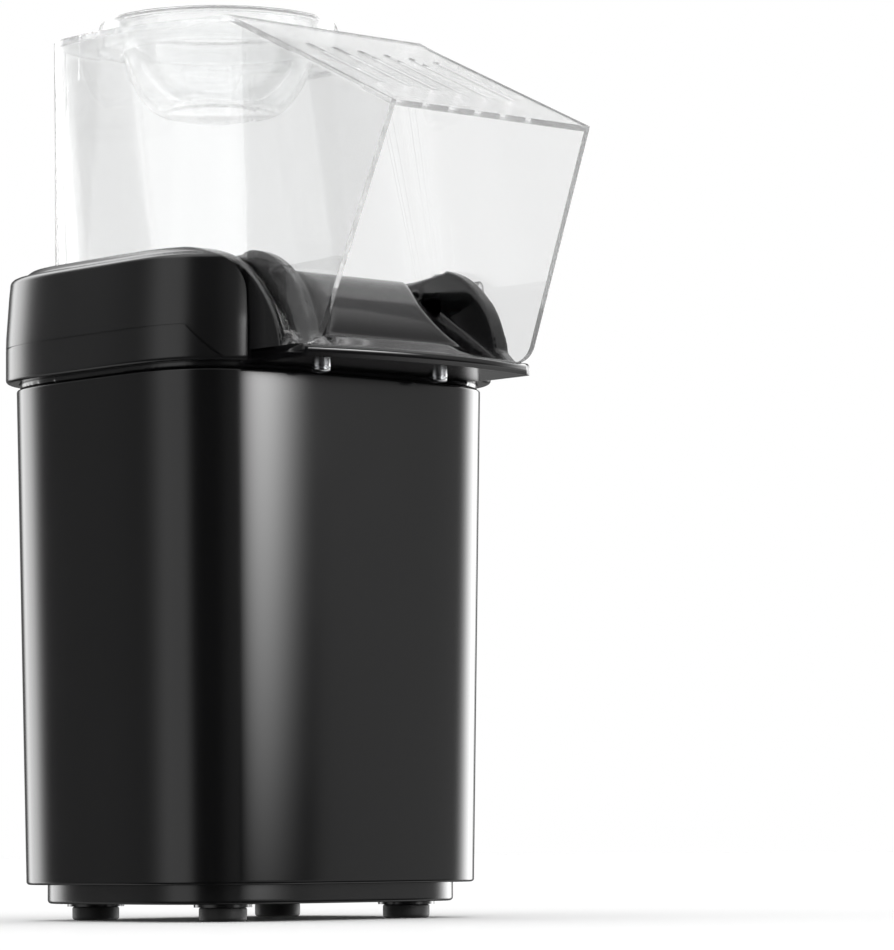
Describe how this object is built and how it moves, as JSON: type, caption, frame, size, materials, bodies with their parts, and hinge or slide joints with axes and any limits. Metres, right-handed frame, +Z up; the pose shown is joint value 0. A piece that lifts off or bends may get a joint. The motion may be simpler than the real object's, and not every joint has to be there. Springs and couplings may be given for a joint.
{
  "type": "hot-air popcorn maker",
  "caption": "Countertop hot-air popcorn maker: tall housing with a blown-air popping chamber, front chute, clear lift-off hood and measuring cup.",
  "frame": {"origin": "on the floor, under the middle of the machine's box", "axes": "+Z up, the chute faces -Y, +X is to the right of the chute seen from behind the machine"},
  "size_m": [0.142, 0.1818, 0.2996],
  "materials": {
    "rubber": "matte moulded rubber",
    "satin_black": "satin black plastic",
    "gloss_black": "polished black plastic",
    "zinc_steel": "bright zinc-plated steel",
    "aluminium": "spun aluminium",
    "silicone": "red silicone",
    "sheet_steel": "galvanised sheet steel",
    "mica": "flaky mica sheet",
    "heating_wire": "oxidised resistance wire",
    "ceramic_white": "unglazed ceramic",
    "ivory_plastic": "natural nylon",
    "copper": "enamelled copper and steel laminations",
    "ferrite": "ferrite and carbon",
    "bronze": "sintered bronze",
    "board_green": "green laminate",
    "clear_plastic": "clear polycarbonate"
  },
  "bodies": {
    "housing": {"rubber_feet": "rubber", "base_plate": "satin_black", "base_screws": "zinc_steel", "body_shell": "gloss_black", "collar": "satin_black", "chute_frame": "gloss_black", "chute_underplate": "satin_black", "chute_screws": "zinc_steel", "frame_screws": "zinc_steel", "popping_chamber": "aluminium", "chamber_gasket": "silicone", "chamber_clamp_ring": "zinc_steel", "clamp_screws": "zinc_steel", "heater_housing": "sheet_steel", "mica_plate_long": "mica", "mica_plate_cross": "mica", "heater_coil": "heating_wire", "thermostat": "ceramic_white", "thermal_fuse": "sheet_steel", "fan_duct": "satin_black", "duct_screws": "zinc_steel", "motor_can": "sheet_steel", "motor_magnets": "ferrite", "motor_end_cap": "ivory_plastic", "motor_brushes": "ferrite", "motor_bushes": "bronze", "motor_screws": "zinc_steel", "rectifier_board": "board_green", "rectifier_diodes": "satin_black", "board_screws": "zinc_steel", "terminal_block": "ivory_plastic", "switch_housing": "satin_black", "switch_terminals": "bronze", "cord_gland": "satin_black", "gland_nut": "satin_black"},
    "rotor": {"fan_impeller": "ivory_plastic", "motor_shaft": "zinc_steel", "motor_armature": "copper"},
    "rocker": {"switch_rocker": "gloss_black"},
    "hood": {"hood": "clear_plastic"},
    "cup": {"measuring_cup": "clear_plastic"}
  },
  "joints": [
    {"name": "fan_spin", "type": "hinge", "parent": "housing", "child": "rotor", "pos_m": [0, 0.03245, 0.07], "axis": [0, 0, 1], "continuous": true},
    {"name": "switch_press", "type": "hinge", "parent": "housing", "child": "rocker", "pos_m": [-0.028, 0.08361, 0.0417], "axis": [-1, 0, 0], "range_deg": [0, 16]},
    {"name": "hood_lift", "type": "slide", "parent": "housing", "child": "hood", "axis": [0, 0, 1], "range_m": [0, 0.12]},
    {"name": "cup_lift", "type": "slide", "parent": "hood", "child": "cup", "axis": [0, 0, 1], "range_m": [0, 0.06]}
  ]
}
